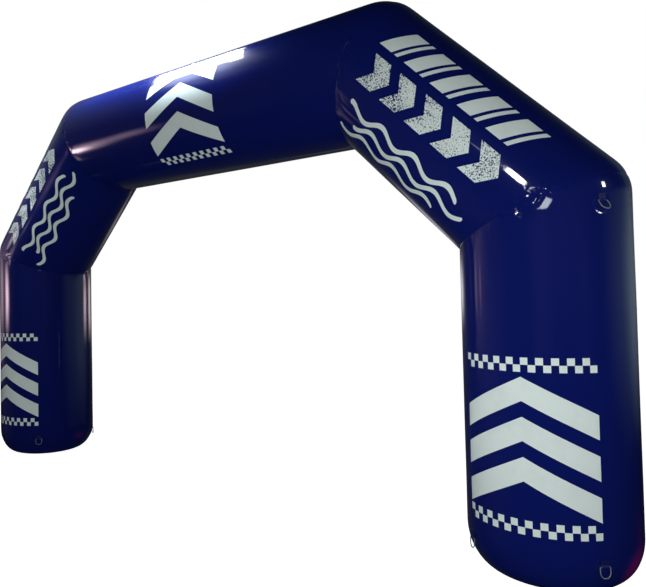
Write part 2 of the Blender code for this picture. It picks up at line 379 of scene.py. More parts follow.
# %% The radius of the skin
COLUMNS = 600
BACK_SEAM_HALF = 0.014  # half the width of the lengthwise overlap, at the back of every tube
BACK_SEAM_RISE = 0.0008
FOOT_WELD_SINK = 0.0012
FOOT_WELD_SLANT = 1.5  # metres along the foot to a metre of height, near its weld


def foot_outline(height):
    """Radius of the foot at a height: a quarter ellipse from the floor disc up to the straight tube."""
    share = np.clip(height / FOOT_HEIGHT, 0.0, 1.0)
    return TUBE_RADIUS - FOOT_INSET * (1.0 - np.sqrt(np.clip(1.0 - (1.0 - share) ** 2, 0.0, 1.0)))


def foot_weld_relief(rise):
    """The overlap of the leg on the base: a low band to each side of the weld, which sinks in a little."""
    return TAPE_RISE * softened(np.abs(rise), TAPE_HALF) - FOOT_WELD_SINK * np.exp(-(rise / TAPE_HALF) ** 2)


def skin_radius(panel, turn, along, from_start, from_end):
    """The tube's radius at a turn and a place along its axis, with the relief of its welds."""
    name = PANEL_NAMES[panel]
    relief = rolling_unevenness(panel, turn, along)
    radius = np.full_like(turn, TUBE_RADIUS)
    height = CORNER_HEIGHT - along if name == "leg_right" else along
    if name.startswith("leg"):
        radius = foot_outline(height)
        relief += foot_weld_relief((height - FOOT_WELD_HEIGHT) * FOOT_WELD_SLANT)
    if name != "leg_left":
        relief += weld_relief(panel - 1, 1, turn, from_start)
    if name != "leg_right":
        relief += weld_relief(panel, 2, turn, from_end)
    from_back = np.abs(round_way(turn, -pi / 2))
    relief += BACK_SEAM_RISE * softened(from_back, BACK_SEAM_HALF)
    if name.startswith("leg"):
        relief = relief * clear_of_anchors(name, turn, height)
    return radius + relief


print("foot weld's height, mm:", round(1000 * FOOT_WELD_HEIGHT, 1))

# %% The skin as a function of two parameters
NEAR_WELD = np.array([
    0, 1.5, 4, 8, 10.5, 12, 13.5, 16, 20, 26, 33, 41, 50, 60, 72, 86, 102, 120, 142, 168, 200,
]) / 1000
ROW_STEP = 0.045  # between the rows far from a weld


def stations(length, weld_at_start, weld_at_end):
    """Shares of a panel's length at which it has a row of points."""
    near_foot = FOOT_HEIGHT * (1 - np.cos(np.linspace(0, 1, 16) * pi / 2))[:15]
    start = NEAR_WELD if weld_at_start else near_foot
    end = NEAR_WELD if weld_at_end else near_foot
    middle_from, middle_to = start[-1], length - end[-1]
    middle = np.linspace(middle_from, middle_to, int((middle_to - middle_from) / ROW_STEP) + 2)[1:-1]
    return np.concatenate([start, middle, length - end[::-1]]) / length


def tube_panel(panel):
    """Points of a panel: axis + radius * (cos(turn) * outer + sin(turn) * front), sheared to its mitres.

    The share runs from 0 to 1, and the shear from mitre to mitre. Each end keeps half the weld's gap.
    """
    name = PANEL_NAMES[panel]
    start, finish = AXIS_POINTS[panel], AXIS_POINTS[panel + 1]
    length = np.linalg.norm(finish - start)
    forward = (finish - start) / length
    front = np.array([0.0, -1.0, 0.0])
    outer = np.cross(front, forward)
    clearance = WELD_GAP / 2
    at_foot = FOOT_WELD_HEIGHT + clearance
    at_mitre = clearance / cos(HALF_BEND)
    begin = at_foot if name == "leg_left" else at_mitre
    end = length - (at_foot if name == "leg_right" else at_mitre)
    share = stations(end - begin, name != "leg_left", name != "leg_right")[:, None]
    turn = (np.arange(COLUMNS + 1) / COLUMNS * 2 * pi - pi / 2)[None, :] + np.zeros_like(share)
    shear = MITRE * (share * (name != "leg_right") - (1.0 - share) * (name != "leg_left"))
    nominal = begin + share * (end - begin)
    along = nominal + shear * TUBE_RADIUS * np.cos(turn)
    from_start = along + MITRE * TUBE_RADIUS * np.cos(turn)
    from_end = length + MITRE * TUBE_RADIUS * np.cos(turn) - along
    radius = skin_radius(panel, turn, along, np.abs(from_start), np.abs(from_end))
    along = nominal + shear * radius * np.cos(turn)
    points = (
        start
        + along[..., None] * forward
        + (radius * np.cos(turn))[..., None] * outer
        + (radius * np.sin(turn))[..., None] * front
    )
    up_the_side = (pi / 2 - turn) * TUBE_RADIUS  # towards the outer side, from the front
    if name == "leg_left":
        across = -up_the_side, along
    elif name == "leg_right":
        across = up_the_side, length - along
    else:
        across = along - length / 2, up_the_side
    return points[:, :-1], np.stack(across, -1)


# %% Making the five panels
tubes = {}
for panel, name in enumerate(PANEL_NAMES):
    points, across = tube_panel(panel)
    tubes[name] = closed_piece(name + "_skin", name, points, across)
    print(name, "rows and columns:", points.shape[:2])

# %% [markdown]
# ## The two base panels
#
# Each leg is closed by a dished disc that lies flat on the floor and turns up to the leg's weld. Its rows
# are circles: first across the floor, then up along the foot's ellipse.

# %% Base panels
CLEAR_OF_PRINTS = 20.0


def base_panel(side):
    """Circles of growing radius on the floor, then circles up the ellipse to the weld with the leg."""
    flat = np.linspace(0.004, TUBE_RADIUS - FOOT_INSET, 9)[:-1]
    rise = np.linspace(0.0, FOOT_WELD_TURN, 14)
    radius = np.concatenate([flat, TUBE_RADIUS - FOOT_INSET * (1 - np.sin(rise))])
    height = np.concatenate([np.zeros(len(flat)), FOOT_HEIGHT * (1 - np.cos(rise))])
    height[-1] -= WELD_GAP / 2
    lift = foot_weld_relief((FOOT_WELD_HEIGHT - height) * FOOT_WELD_SLANT) * (height > 0)
    turn = np.arange(COLUMNS + 1) / COLUMNS * 2 * pi
    reach = (radius + lift)[:, None]
    level = (reach * np.cos(turn) + side * HALF_SPACING, reach * np.sin(turn))
    points = np.stack([*level, height[:, None] + 0 * turn], -1)
    arc = np.concatenate([[0], np.cumsum(np.hypot(np.diff(radius), np.diff(height)))])
    across = np.stack([turn * TUBE_RADIUS + 0 * arc[:, None] + CLEAR_OF_PRINTS, arc[:, None] + 0 * turn], -1)
    return points[:, :-1], across


for side, name in ((-1, "base_left"), (1, "base_right")):
    points, across = base_panel(side)
    tubes[name] = closed_piece(name + "_skin", name, points, across)
    print(name, "rows and columns:", points.shape[:2])

# %% [markdown]
# ## Pads, tabs and rings
#
# A pad is a round patch of the same coated cloth, moulded with a rim and welded on. A strip of webbing is
# folded round the straight side of a steel D-ring, and its two layers are sewn to the pad. Each shape is
# again a grid: a disc laid on the skin's own surface, a flat strap carried along its fold, and a circle
# carried along a D.

# %% The leg's outline, for what is fixed to it
PAD_LIFT = 0.0006
PAD_THICKNESS = 0.002
TAB_WIDTH = 0.042
TAB_THICKNESS = 0.0018
TAB_TAIL = 0.034
TAB_PLAY = 0.0006
WIRE_RADIUS = 0.003
RING_BEND = 0.028
RING_DROP = 0.027
RING_CORNER = 0.006
STAND_OFF = PAD_LIFT + PAD_THICKNESS + WELD_GAP + TAB_THICKNESS + TAB_PLAY + WIRE_RADIUS


def outline_normal(height):
    """Outward and upward parts of the normal on the leg: that of the ellipse below, level above."""
    share = np.clip(height / FOOT_HEIGHT, 0.0, 1.0)
    turn = np.arccos(1.0 - share)
    out, up = np.sin(turn) / FOOT_INSET, -np.cos(turn) / FOOT_HEIGHT
    size = np.hypot(out, up)
    return out / size, up / size


def stand_up(points, side, around):
    """Turns points with the leg's axis as +Z and the anchor on its +X side round to the anchor's place."""
    c, s = cos(around), sin(around)
    turned = points @ np.array([[c, s, 0], [-s, c, 0], [0, 0, 1]])
    return turned + np.array([side * HALF_SPACING, 0, 0])


# %% Pads
PAD_PROFILE = np.array([
    # from_centre, thickness: from the hub out to the rim, all in metres
    (0.0000, 0.00185), (0.0330, 0.00185), (0.0360, 0.00165), (0.0385, 0.00115),
    (0.0410, 0.00095), (0.0435, 0.00100), (0.0465, 0.00145), (0.0495, 0.00197),
    (0.0525, 0.00250), (0.0548, 0.00268), (0.0566, 0.00215), (0.0578, 0.00080),
])
HUB = 0.0006


def pad_points(bar_height):
    """A disc on the leg: x over the radius goes round the leg, y goes up, and the thickness goes out.

    Rows run from the hub of the outer face over the rim to the hub of the back.
    """
    given = np.arange(len(PAD_PROFILE))
    reach, thick = (np.interp(np.linspace(0, given[-1], 34), given, measure) for measure in PAD_PROFILE.T)
    reach[0] = HUB
    reach = np.concatenate([reach, [PAD_RADIUS, 0.0576, 0.045, 0.03, 0.015, HUB]])
    thick = np.concatenate([thick, [0.0003], np.zeros(5)])
    spin = np.arange(72) / 72 * 2 * pi
    x, y = reach[:, None] * np.cos(spin), reach[:, None] * np.sin(spin)
    height = bar_height - PAD_BELOW_BAR + y
    out, up = outline_normal(height)
    off_skin = PAD_LIFT + thick[:, None]
    level = foot_outline(height) + off_skin * out
    around = x / TUBE_RADIUS
    points = np.stack([level * np.cos(around), level * np.sin(around), height + off_skin * up], -1)
    across = np.stack([x, y], -1)
    return points[::-1], np.concatenate([across, across[:, :1]], 1)[::-1]


print("rows and columns of a pad:", pad_points(TOP_BAR[0])[0].shape[:2])

# %% Tabs
def square_to(ahead):
    """Unit vectors to the right of a line's directions, in its plane."""
    ahead = ahead / np.linalg.norm(ahead, axis=1)[:, None]
    return np.stack([ahead[:, 1], -ahead[:, 0]], -1)


def tab_path():
    """The strap's centre line seen on its edge, with the ring's bar at the origin and the pad on its left.

    Down along the pad, round the bar, over its top and up again on the first layer. The line is cut into even
    steps, and its corners are rounded by averaging each point with its neighbours.
    """
    back = -(WIRE_RADIUS + TAB_PLAY + TAB_THICKNESS / 2)
    loop = np.linspace(pi, pi * 2.30, 26)
    line = np.vstack([
        np.stack([np.full(12, back), np.linspace(TAB_TAIL, 0.0015, 12)], -1),
        -back * np.stack([np.cos(loop), np.sin(loop)], -1),
        [[back + TAB_THICKNESS, 0.0085]],
        np.stack([np.full(10, back + TAB_THICKNESS), np.linspace(0.0105, TAB_TAIL - 0.0005, 10)], -1),
    ])
    step = np.concatenate([[0], np.cumsum(np.hypot(*np.diff(line, axis=0).T))])
    even = np.linspace(0, step[-1], 110)
    line = np.stack([np.interp(even, step, line[:, 0]), np.interp(even, step, line[:, 1])], -1)
    for _ in range(3):
        line[1:-1] = (line[:-2] + 2 * line[1:-1] + line[2:]) / 4
    return line, step[-1]


def tab_points():
    """A strap's cross-section, a flat oblong with rounded edges, carried along tab_path square to it."""
    line, length = tab_path()
    side = square_to(np.gradient(line, axis=0))
    half, thick = TAB_WIDTH / 2, TAB_THICKNESS / 2 - 0.00008
    corner = np.linspace(0, pi / 2, 4)
    bevel = 0.0005
    quarter = np.stack([half - bevel + bevel * np.cos(corner), thick - bevel + bevel * np.sin(corner)], -1)
    flat = np.stack([np.linspace(half - bevel, -half + bevel, 16)[1:-1], np.full(14, thick)], -1)
    upper = np.vstack([quarter, flat, quarter[::-1] * [-1, 1]])
    section = np.vstack([upper, -upper])[::-1]
    aside = np.zeros(len(line))[:, None] + section[:, 0]
    points = np.stack([
        line[:, 0, None] + side[:, 0, None] * section[:, 1],
        aside,
        line[:, 1, None] + side[:, 1, None] * section[:, 1],
    ], -1)
    run = np.linspace(0, length, len(line))[:, None] + 0 * section[:, 0]
    across = np.stack([aside, run], -1)
    return points, np.concatenate([across, across[:, :1]], 1), length


tab_shape, tab_across, tab_length = tab_points()
print("strap length, mm:", round(1000 * tab_length, 1))

# %% Rings
def ring_points():
    """A circle carried along a D: a bar through the origin, two small corners and a round end below."""
    corner = RING_BEND - RING_CORNER
    turns = [
        (RING_CORNER, np.linspace(0, pi / 2, 12), (corner, -RING_CORNER)),
        (RING_CORNER, np.linspace(pi / 2, pi, 12), (-corner, -RING_CORNER)),
        (RING_BEND, np.linspace(pi, 2 * pi, 44), (0.0, -RING_DROP)),
    ]
    line = np.vstack([
        np.stack([middle[0] + radius * np.cos(angle), middle[1] + radius * np.sin(angle)], -1)
        for radius, angle, middle in turns
    ])
    out = square_to(np.roll(line, -1, 0) - np.roll(line, 1, 0))
    spin = -np.arange(16) / 16 * 2 * pi
    reach = WIRE_RADIUS * np.cos(spin)
    return np.stack([
        WIRE_RADIUS * np.sin(spin) + 0 * line[:, :1],
        line[:, :1] + out[:, :1] * reach,
        line[:, 1:] + out[:, 1:] * reach,
    ], -1)


ring_shape = ring_points()
print("rows and columns of a ring:", ring_shape.shape[:2])

# %% Fixing the anchors to the legs
def lean_about_y(points, lean):
    """Turns points about +Y, so that what hangs below the origin swings towards +X."""
    c, s = cos(lean), sin(lean)
    return points @ np.array([[c, 0, s], [0, 1, 0], [-s, 0, c]])


pads, tabs, rings = {}, {}, {}
for name, side, around, bar_height, lean in ANCHORS:
    points, across = pad_points(bar_height)
    points = stand_up(points, side, around)
    pads[name] = closed_piece("pad_skin_" + name, "pad_" + name, points, across)
    touch = bar_height + TAB_TAIL / 2
    out, up = outline_normal(np.array(touch))
    bar = np.array([foot_outline(np.array(touch)), 0.0, touch]) + STAND_OFF * np.array([out, 0, up])
    bar += TAB_TAIL / 2 * np.array([up, 0, -out])
    tab_lean = asin(-up)
    points = stand_up(lean_about_y(tab_shape, -tab_lean) + bar, side, around)
    tabs[name] = closed_piece("tab_strap_" + name, "tab_" + name, points, tab_across)
    points = stand_up(lean_about_y(ring_shape, lean) + bar, side, around)
    rings[name] = closed_piece("ring_wire_" + name, "ring_" + name, points, ends=False)
print("pads, tabs and rings:", len(pads), len(tabs), len(rings))

# %% [markdown]
# ## Writing shader maths as plain Python
#
# A print is a mask: 1 where there is ink and 0 where there is bare cloth. Such masks are sums and
# comparisons of the two cloth coordinates. The small class below wraps one socket, so that `1 - mask` or
# `(x > 0) * y` adds the Math nodes by itself, and its recipe keeps the node tree and adds any other node.

# %% Sockets that can be added and compared
def adds(operation, swapped=False):
    """A method that adds one Math node for a signal and, where it takes one, another value."""
    if swapped:
        return lambda self, other: self.math(operation, other, self)
    return lambda self, *others: self.math(operation, self, *others)


class Signal:
    """One output of a shader tree. Python's signs on it add Math nodes."""

    def __init__(self, recipe, socket):
        self.recipe = recipe
        self.socket = socket

    def math(self, operation, *values):
        return self.recipe.add("Math", enumerate(values), operation=operation)

    __add__ = adds("ADD")
    __radd__ = adds("ADD", swapped=True)
    __sub__ = adds("SUBTRACT")
    __rsub__ = adds("SUBTRACT", swapped=True)
    __mul__ = adds("MULTIPLY")
    __rmul__ = adds("MULTIPLY", swapped=True)
    __truediv__ = adds("DIVIDE")
    __gt__ = adds("GREATER_THAN")
    __lt__ = adds("LESS_THAN")
    __mod__ = adds("FLOORED_MODULO")
    __abs__ = adds("ABSOLUTE")
    sine = adds("SINE")
    arcsine = adds("ARCSINE")
    floor = adds("FLOOR")
    lowest = adds("MINIMUM")
    highest = adds("MAXIMUM")
    bearing = adds("ARCTAN2")  # the angle whose sine goes with this value, its cosine with the other

    def between(self, low, high):
        """1 where the value lies between two numbers."""
        return (self > low) * (self < high)


# %% A node tree as a recipe
class Recipe:
    """A node tree. add() makes a node from its type, its sockets' values and its settings."""

    def __init__(self, name, holder=None):
        self.material = holder or bpy.data.materials.new(name)
        self.material.use_nodes = True
        self.tree = self.material.node_tree
        self.shader = self.tree.nodes.get("Principled BSDF")

    def feed(self, socket, value):
        if isinstance(value, Signal):
            self.tree.links.new(value.socket, socket)
        else:
            socket.default_value = value

    def add(self, kind, sockets=(), output=0, **settings):
        node = self.tree.nodes.new("ShaderNode" + kind)
        for key, value in settings.items():
            setattr(node, key, value)
        for key, value in dict(sockets).items():
            self.feed(node.inputs[key], value)
        return Signal(self, node.outputs[output])

    def finish(self, **sockets):
        for key, value in sockets.items():
            self.feed(self.shader.inputs[key.replace("_", " ")], value)
        return self.material

    def outputs(self, signal, *names):
        """Several outputs of the node that a signal comes from."""
        return [Signal(self, signal.socket.node.outputs[name]) for name in names]

    def parts(self, vector, count):
        """The first numbers of a vector, one signal each."""
        return self.outputs(self.add("SeparateXYZ", {"Vector": vector}), *range(count))

    def cloth(self):
        """The piece's UV map in metres, as two signals."""
        return self.parts(self.add("UVMap", uv_map="cloth"), 2)

    def noise(self, scale, detail=2.0, roughness=0.5, stretch=(1.0, 1.0, 1.0)):
        """Noise on the piece's own place, stretched by scaling the three directions."""
        place = self.add("TexCoord", output="Object")
        placed = self.add("Mapping", {"Vector": place, "Scale": stretch})
        sockets = {"Vector": placed, "Scale": scale, "Detail": detail, "Roughness": roughness}
        return self.add("TexNoise", sockets, noise_dimensions="3D")

    def bump(self, height, strength, distance):
        return self.add("Bump", {"Height": height, "Strength": strength, "Distance": distance})

    def blend(self, share, first, second, way="MIX"):
        """A colour between two colours, or the first with a share of the second added."""
        return self.add("Mix", {0: share, 6: first, 7: second}, 2, data_type="RGBA", blend_type=way)


# %% [markdown]
# ## The printed shapes
#
# The arch carries pale screen-printed shapes of its own: up-pointing chevrons with chequered bands on the
# legs and the beam, and three rows along each shoulder, of slanted bars, of worn arrowheads and of thin
# waves. Each print is a function of x, along the reading direction, and y, up the cloth, both in metres.

# %% Chevrons and chequers for the legs and the beam
PRINT_HALF = 0.375  # half the width of the prints
SQUARE = 2 * PRINT_HALF / 20
CHEVRONS = 3
CHEVRON_SLOPE = 0.50
CHEVRON_BAR = 0.125


def chequers(x, y, low):
    """Two rows of alternate squares, from the height low up."""
    parity = ((x / SQUARE).floor() + ((y - low) / SQUARE).floor()) % 2.0
    return (parity > 0.5) * (abs(x) < PRINT_HALF) * y.between(low, low + 2 * SQUARE)


def chevrons(x, y, low, high):
    """Chevrons that point up, stacked between two heights: y plus half of |x| repeats."""
    drop = CHEVRON_SLOPE * PRINT_HALF
    pitch = (high - low - drop - CHEVRON_BAR) / (CHEVRONS - 1)
    climb = y + abs(x) * CHEVRON_SLOPE - (low + drop)
    inside = (climb % pitch) < CHEVRON_BAR
    return inside * (abs(x) < PRINT_HALF) * climb.between(0.0, pitch * (CHEVRONS - 1) + CHEVRON_BAR)


def leg_print(recipe, x, y):
    return chevrons(x, y, 0.395, 1.12) + chequers(x, y, 0.31) + chequers(x, y, 1.145)


def beam_print(recipe, x, y):
    return chevrons(x, y, -0.36, 0.43) + chequers(x, y, -0.465)


print("squares, mm:", round(1000 * SQUARE, 1))

# %% Bars, arrowheads and waves for the shoulders
ROW_HALF = 0.56  # half the length of the rows
ROW_PITCH = 0.224  # five to a row
BARS_MIDDLE = 0.32
HEADS_MIDDLE = 0.0575
WAVE_LINES = (
    # middle, start, finish, phase
    (-0.190, -0.50, 0.44, 0.0), (-0.278, -0.42, 0.52, 1.3), (-0.366, -0.54, 0.30, 2.6),
)
WAVE_HEIGHT = 0.030
LINE_HALF = 0.0145  # half the width of a line


def slanted_bars(x, y):
    """Bold parallelograms, each followed by a thin one: x less half of y repeats."""
    along = x - (y - BARS_MIDDLE) * 0.50
    place = (along + ROW_HALF) % ROW_PITCH
    row = (place.between(0.015, 0.125) + place.between(0.150, 0.180)) * (abs(along) < ROW_HALF)
    return row * (abs(y - BARS_MIDDLE) < 0.105)


def arrowheads(x, y):
    """Blunt arrowheads that point along the tube: x plus |y| repeats."""
    along = x + abs(y - HEADS_MIDDLE) * 0.85
    heads = (along + ROW_HALF) % ROW_PITCH > 0.085
    return heads * (abs(along) < ROW_HALF) * (abs(y - HEADS_MIDDLE) < 0.0975)


def waves(x, y):
    """Three thin sine lines of unlike length with round ends: a capsule bent along a sine."""
    total = None
    for middle, start, finish, phase in WAVE_LINES:
        lift = y - middle - (x * 22.0 + phase).sine() * WAVE_HEIGHT
        past = (abs(x - (start + finish) / 2) - (finish - start) / 2).highest(0.0)
        near = (lift * lift * 0.72 + past * past) < LINE_HALF ** 2
        total = near if total is None else total + near
    return total


print("rows, m:", 2 * ROW_HALF)

# %% [markdown]
# ## The coated cloth
#
# PVC-coated polyester is cast smooth and shines under its clear lacquer, which is the shader's coat. The
# cloth underneath shows through as a faint fine weave, the sheet keeps a slight orange peel, and handling
# leaves it duller in clouds. The ink lies on the lacquer and shines a little less.

# %% Navy cloth with its prints
NAVY = (0.0036, 0.0092, 0.118, 1.0)
NAVY_DEEP = (0.0032, 0.0080, 0.103, 1.0)
INK = (0.73, 0.84, 0.81, 1.0)
INK_WORN = (0.54, 0.61, 0.62, 1.0)
MM_WAVE = 6283.0  # radians to a metre of a wave 1 mm long
WEAVE_MM = 1.6


def coated_cloth(name, shapes):
    """Navy coated cloth, with ink where shapes(recipe, x, y) says so."""
    recipe = Recipe(name)
    x, y = recipe.cloth()
    broad = recipe.noise(1.7, 3.0)
    peel = recipe.noise(46.0, 3.0, 0.6)
    cloud = recipe.noise(6.0, 5.0, 0.62)
    colour = recipe.blend(broad, NAVY, NAVY_DEEP)
    ink = shapes(recipe, x, y) if shapes else None
    rough = 0.27 + 0.10 * cloud
    height = 0.5 * peel
    if ink is not None:
        ink = ink.lowest(1.0)
        colour = recipe.blend(ink, colour, recipe.blend((cloud - 0.50) * 1.2, INK, INK_WORN))
        rough = rough + ink * 0.12
        height = height + ink * 0.6
    weave = ((x * MM_WAVE / WEAVE_MM).sine() * (y * MM_WAVE / WEAVE_MM).sine()) * 0.10
    bump = recipe.bump(height + weave, 0.22, 0.0005)
    return recipe.finish(
        Base_Color=colour, Roughness=rough, Normal=bump, Coat_Weight=1.0, Coat_Roughness=0.045, Coat_IOR=1.5,
        Specular_IOR_Level=0.02,
    )


def worn_away(recipe, x, y, where):
    """Specks where the ink has come off, thick in some patches and thin in others."""
    speck = recipe.noise(105.0, 4.0, 0.70)
    patch = recipe.noise(5.5, 2.0)
    return where * (speck > 0.70 - 0.30 * patch)


def shoulder_print(recipe, x, y):
    heads = arrowheads(x, y)
    return slanted_bars(x, y) + heads * (1.0 - worn_away(recipe, x, y, heads)) + waves(x, y)


CLOTHS = {
    "leg": coated_cloth("navy_cloth_leg_print", leg_print),
    "beam": coated_cloth("navy_cloth_beam_print", beam_print),
    "shoulder": coated_cloth("navy_cloth_shoulder_print", shoulder_print),
    "base": coated_cloth("navy_cloth_plain", None),
}
for name, piece in tubes.items():
    piece.data.materials.append(CLOTHS[name.split("_")[0]])
print("cloth materials:", [m.name for m in CLOTHS.values()])

# %% Pads, webbing and steel
def pad_cloth():
    """The pad's moulded PVC: the same navy and gloss as the cloth, with a fine grain."""
    recipe = Recipe("navy_pad_pvc")
    grain = recipe.noise(900.0, 2.0)
    cloud = recipe.noise(30.0, 3.0)
    bump = recipe.bump(grain, 0.12, 0.0002)
    return recipe.finish(
        Base_Color=recipe.blend(cloud, NAVY, NAVY_DEEP), Roughness=0.24 + 0.12 * cloud, Normal=bump,
        Coat_Weight=1.0, Coat_Roughness=0.05, Specular_IOR_Level=0.02,
    )


def strap_webbing():
    """Navy webbing: ribs 2 mm apart along the strap, crossed by a finer weft, and two sewn lines."""
    recipe = Recipe("navy_webbing")
    x, y = recipe.cloth()
    rib = (x * (MM_WAVE / 2.0)).sine()
    weft = (y * (MM_WAVE / 1.1) + rib * 1.2).sine()
    stitch = (abs(abs(x) - 0.0165) < 0.0005) * (((y * 1000.0) % 3.0) > 0.7)
    fuzz = recipe.noise(700.0, 2.0)
    height = rib * 0.5 + weft * 0.25 + stitch * 1.5
    bump = recipe.bump(height, 0.5, 0.0003)
    colour = recipe.blend(weft * 0.25 + fuzz * 0.5, (0.003, 0.008, 0.085, 1.0), (0.006, 0.014, 0.125, 1.0))
    colour = recipe.blend(stitch, colour, (0.02, 0.04, 0.18, 1.0))
    return recipe.finish(
        Base_Color=colour, Roughness=0.36 + 0.2 * fuzz, Normal=bump, Coat_Weight=0.2, Coat_Roughness=0.2,
        Specular_IOR_Level=0.3,
    )


def ring_steel():
    """Zinc-plated steel wire: pale grey, with duller oxidised clouds and fine lengthwise drawing marks."""
    recipe = Recipe("plated_steel")
    cloud = recipe.noise(140.0, 4.0, 0.6)
    marks = recipe.noise(900.0, 2.0, stretch=(1.0, 1.0, 0.2))
    bump = recipe.bump(marks, 0.2, 0.0001)
    colour = recipe.blend(cloud, (0.44, 0.48, 0.52, 1.0), (0.30, 0.33, 0.36, 1.0))
    return recipe.finish(
        Base_Color=colour, Metallic=0.45 + 0.25 * cloud, Roughness=0.14 + 0.20 * cloud, Normal=bump,
        Coat_Weight=0.5, Coat_Roughness=0.06,
    )


for group, material in ((pads, pad_cloth()), (tabs, strap_webbing()), (rings, ring_steel())):
    for piece in group.values():
        piece.data.materials.append(material)
    print(material.name, "on", len(group), "pieces")

# %% [markdown]
# ## Fixing each piece to the root
#
# The tubes and bases are blown up tight. Pads and tabs are flat cuttings. Every piece rides on one root
# empty.

# %% Riding on the root
for piece in (*tubes.values(), *pads.values(), *tabs.values(), *rings.values()):
    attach(piece, "root")
for name, piece in pads.items():
    side = 2 * PAD_RADIUS
print("blown up:", len(tubes), "flat cuttings:", len(pads) + len(tabs))

# %% [markdown]
# ## Floor, lights and camera
#
# The floor and the surroundings are plain and pale, so that the navy cloth stands out. Dark gloss shows its
# lights more than its colour, so each soft box that it mirrors stands where its image draws a tube: a row
# over the beam, warm ones to the left and behind, and small ones high in front and on the right. The others
# are hidden from the gloss and light the prints. A dark room with dim glows fills the rest of what the
# gloss shows.

# %% The surroundings
EVEN_LIGHT = 0.135
EVEN_COLOUR = (0.96, 0.98, 1.0, 1.0)
PURE_WHITE = (1.0, 1.0, 1.0, 1.0)
ROOM_DARK = (0.0020, 0.0030, 0.0050, 1.0)
ROOM_GLOWS = (
    # name, bearing from +X towards +Y, height, half_bearing and half_height in degrees, colour
    ("floor_behind", 130, -20, 62, 42, (0.024, 0.026, 0.017)),
    ("far_wall_behind", 128, 4, 44, 14, (0.07, 0.062, 0.056)),
    ("high_behind", 95, 26, 60, 40, (0.021, 0.028, 0.036)),
    ("wall_right", 66, 0, 32, 13, (0.2, 0.27, 0.28)),
    ("wall_left", 187, 3, 24, 12, (0.4, 0.27, 0.35)),
    ("wall_right_low", 38, 0, 42, 14, (0.14, 0.2, 0.18)),
    ("haze_front", 305, 12, 70, 24, (0.06, 0.036, 0.04)),
    ("haze_left", 212, 8, 45, 45, (0.05, 0.036, 0.05)),
    ("high_left", 180, 27, 46, 23, (0.19, 0.21, 0.26)),
    ("corner_right", 72, 20, 26, 20, (0.065, 0.09, 0.1)),
    ("carpet_right", 62, -30, 28, 15, (0.17, 0, 0.06)),
)


def pale_surroundings():
    """White past the arch, an even dim light on the cloth, weaker from above, and a dark room to be mirrored.

    Each glow of the room falls off as (1 - d^2)^2, where d is the way from its middle in half-widths.
    """
    world = Recipe("pale_studio", bpy.data.worlds.new("pale_studio"))
    scene.world = world.material
    x, y, z = world.parts(world.add("TexCoord"), 3)
    bearing = y.bearing(x) * (180 / pi)
    height = z.arcsine() * (180 / pi)
    room = ROOM_DARK
    for _, middle, level, half_bearing, half_height, colour in ROOM_GLOWS:
        aside = ((bearing - middle + 540.0) % 360.0 - 180.0) / half_bearing
        above = (height - level) / half_height
        near = (1.0 - aside * aside - above * above).highest(0.0)
        room = world.blend(near * near, room, (*colour, 1.0), "ADD")
    mirrored = world.add("Background", {"Color": room})
    strength = (1.0 - 0.5 * z) * EVEN_LIGHT
    even = world.add("Background", {"Color": EVEN_COLOUR, "Strength": strength})
    white = world.add("Background", {"Color": PURE_WHITE})
    rays = world.add("LightPath")
    seen, on_cloth = world.outputs(rays, "Is Camera Ray", "Is Diffuse Ray")
    lit = world.add("MixShader", {0: on_cloth, 1: mirrored, 2: even})
    shown = world.add("MixShader", {0: seen, 1: lit, 2: white})
    world.feed(world.tree.nodes["World Output"].inputs["Surface"], shown)


pale_surroundings()
print("glows in the mirrored room:", len(ROOM_GLOWS))

# %% Floor
FAR = 40  # half the width of the floor
floor_mesh = bpy.data.meshes.new("floor")
floor_mesh.from_pydata([(-FAR, -FAR, 0), (FAR, -FAR, 0), (FAR, FAR, 0), (-FAR, FAR, 0)], [], [(0, 1, 2, 3)])
floor = bpy.data.objects.new("floor", floor_mesh)
scene.collection.objects.link(floor)
floor_finish = Recipe("pale_floor")
floor_colour = floor_finish.blend(floor_finish.noise(3.0), (0.80, 0.80, 0.80, 1.0), (0.82, 0.82, 0.82, 1.0))
floor_finish.finish(
    Base_Color=floor_colour, Roughness=0.9, Emission_Color=PURE_WHITE, Emission_Strength=0.97,
)
floor_mesh.materials.append(floor_finish.material)
floor.visible_glossy = False
floor.visible_diffuse = False
print("floor, m:", 2 * FAR)

